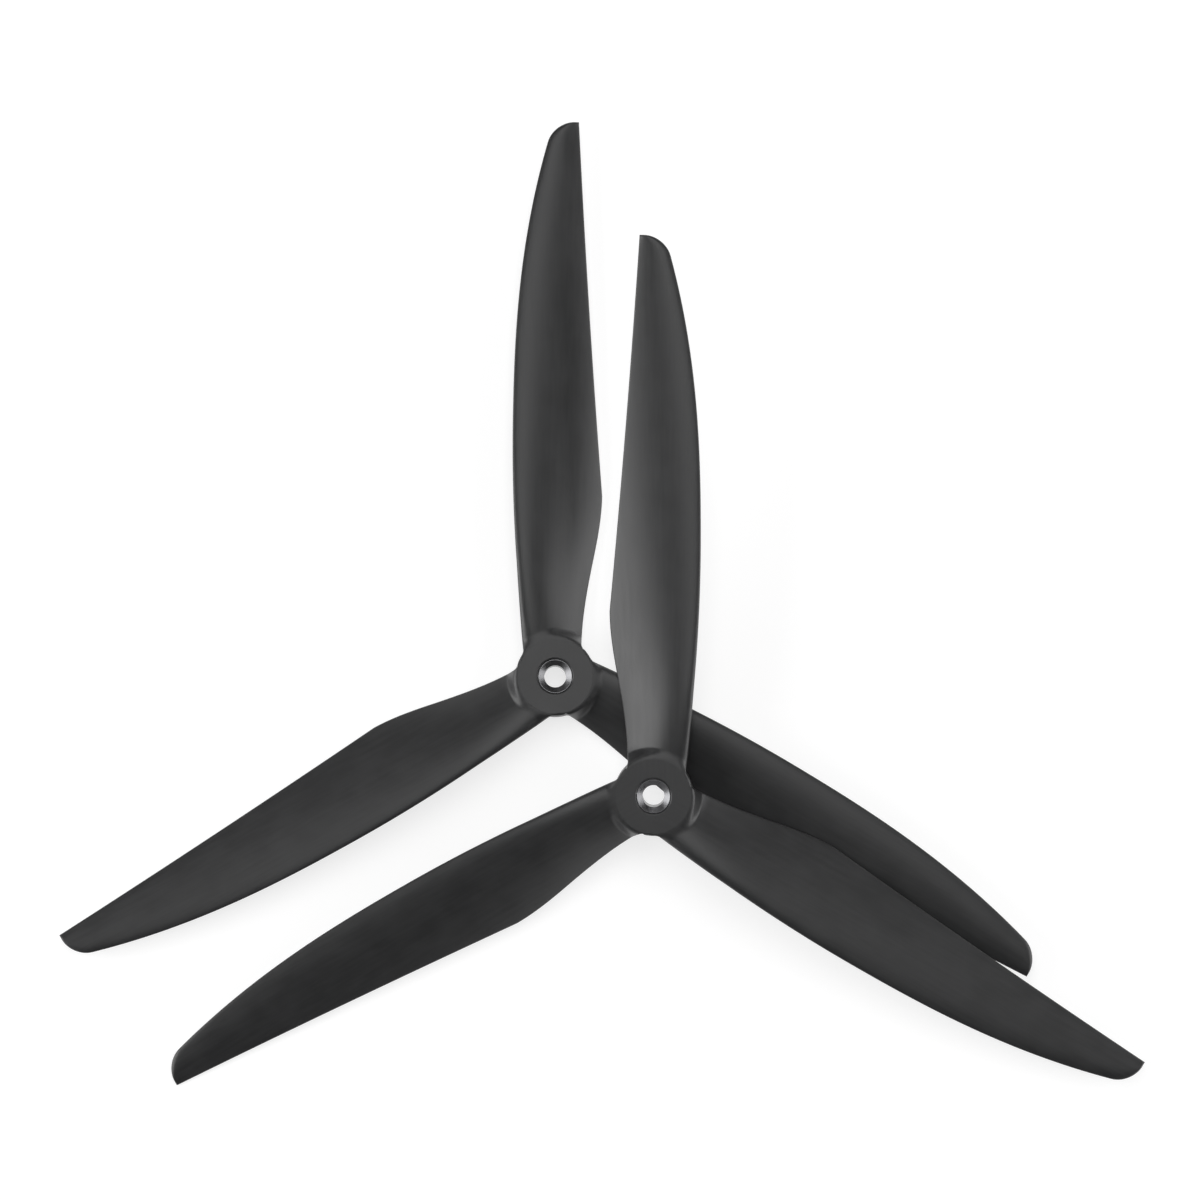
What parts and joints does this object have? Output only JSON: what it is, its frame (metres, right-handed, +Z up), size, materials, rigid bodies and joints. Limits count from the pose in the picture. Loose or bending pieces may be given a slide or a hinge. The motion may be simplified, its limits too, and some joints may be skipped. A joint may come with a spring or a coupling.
{
  "type": "propeller pair",
  "caption": "Moulded drone propellers of opposite hand, one lying loose across the other, with twisted tapering blades, a round hub and a dark turned bush that lines the shaft hole.",
  "frame": {"origin": "middle of the pair in plan, on the surface that it lies on", "axes": "+Z up from the surface, +Y the way that the two top blades point in the picture, +X to the right in the picture"},
  "size_m": [0.2466, 0.2198, 0.0244],
  "materials": {
    "nylon": "black glass-fibre nylon, satin as moulded",
    "bush_metal": "turned, dark anodised"
  },
  "bodies": {
    "ccw_propeller": {"ccw_hub": "nylon", "ccw_blade_1": "nylon", "ccw_blade_2": "nylon", "ccw_blade_3": "nylon", "ccw_shaft_bush": "bush_metal"},
    "cw_propeller": {"cw_hub": "nylon", "cw_blade_1": "nylon", "cw_blade_2": "nylon", "cw_blade_3": "nylon", "cw_shaft_bush": "bush_metal"}
  },
  "joints": [
    {"name": "cw_lift", "type": "slide", "parent": "ccw_propeller", "child": "cw_propeller", "axis": [0, 0, 1], "range_m": [0, 0.08]}
  ]
}
